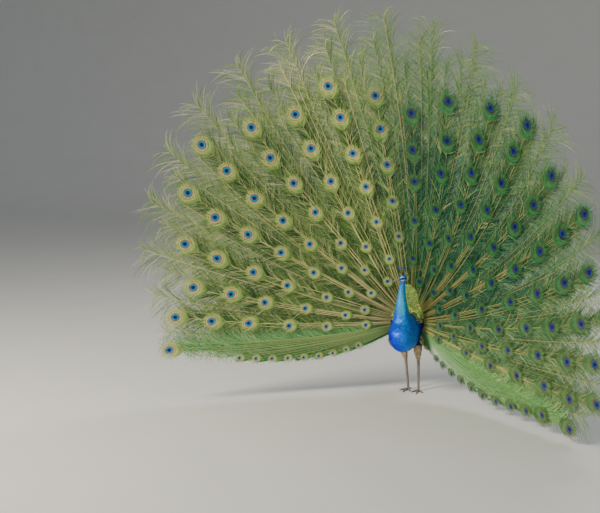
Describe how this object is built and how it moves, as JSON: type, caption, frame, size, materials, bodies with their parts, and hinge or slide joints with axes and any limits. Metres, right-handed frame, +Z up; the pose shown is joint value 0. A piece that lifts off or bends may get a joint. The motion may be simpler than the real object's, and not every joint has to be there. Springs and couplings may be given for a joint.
{
  "type": "peacock",
  "caption": "Life-size still model of a male peacock standing with its train fanned out in display, head turned to one side.",
  "frame": {"origin": "middle of the bounding box in plan, on the floor under the feet", "axes": "+Z up, -Y the way the body faces, +X the bird's own left, across the fanned train"},
  "size_m": [2.2464, 1.2134, 1.912],
  "materials": {
    "blue_plumage": "glossy iridescent blue body feathers",
    "crest_plumage": "stiff blue-green crest feathers on bare quills",
    "scale_plumage": "small golden-green scale feathers with a bronze sheen",
    "train_plumage": "loose green and bronze barbs on pale quills, with blue eyes",
    "tail_plumage": "dull grey-brown stiff quills",
    "wing_plumage": "barred buff coverts and chestnut quills",
    "thigh_plumage": "soft buff thigh feathers",
    "leg_skin": "grey-brown scaly legs and toes with dark claws",
    "bill_horn": "smooth grey horn",
    "eye": "dark brown wet eye"
  },
  "bodies": {
    "root": {"bill_lower": "bill_horn", "bill_upper": "bill_horn", "crest": "crest_plumage", "eye_left": "eye", "eye_right": "eye", "foot_left": "leg_skin", "foot_right": "leg_skin", "head": "blue_plumage", "mantle": "scale_plumage", "neck_lower": "blue_plumage", "neck_upper": "blue_plumage", "shank_left": "leg_skin", "shank_right": "leg_skin", "tail": "tail_plumage", "thigh_left": "thigh_plumage", "thigh_right": "thigh_plumage", "train_fan_01": "train_plumage", "train_fan_02": "train_plumage", "train_fan_03": "train_plumage", "train_fan_04": "train_plumage", "train_fan_05": "train_plumage", "train_fan_06": "train_plumage", "train_fan_07": "train_plumage", "train_fan_08": "train_plumage", "train_fan_09": "train_plumage", "train_fan_10": "train_plumage", "train_root": "scale_plumage", "trunk": "blue_plumage", "wing_left": "wing_plumage", "wing_right": "wing_plumage"}
  },
  "joints": []
}
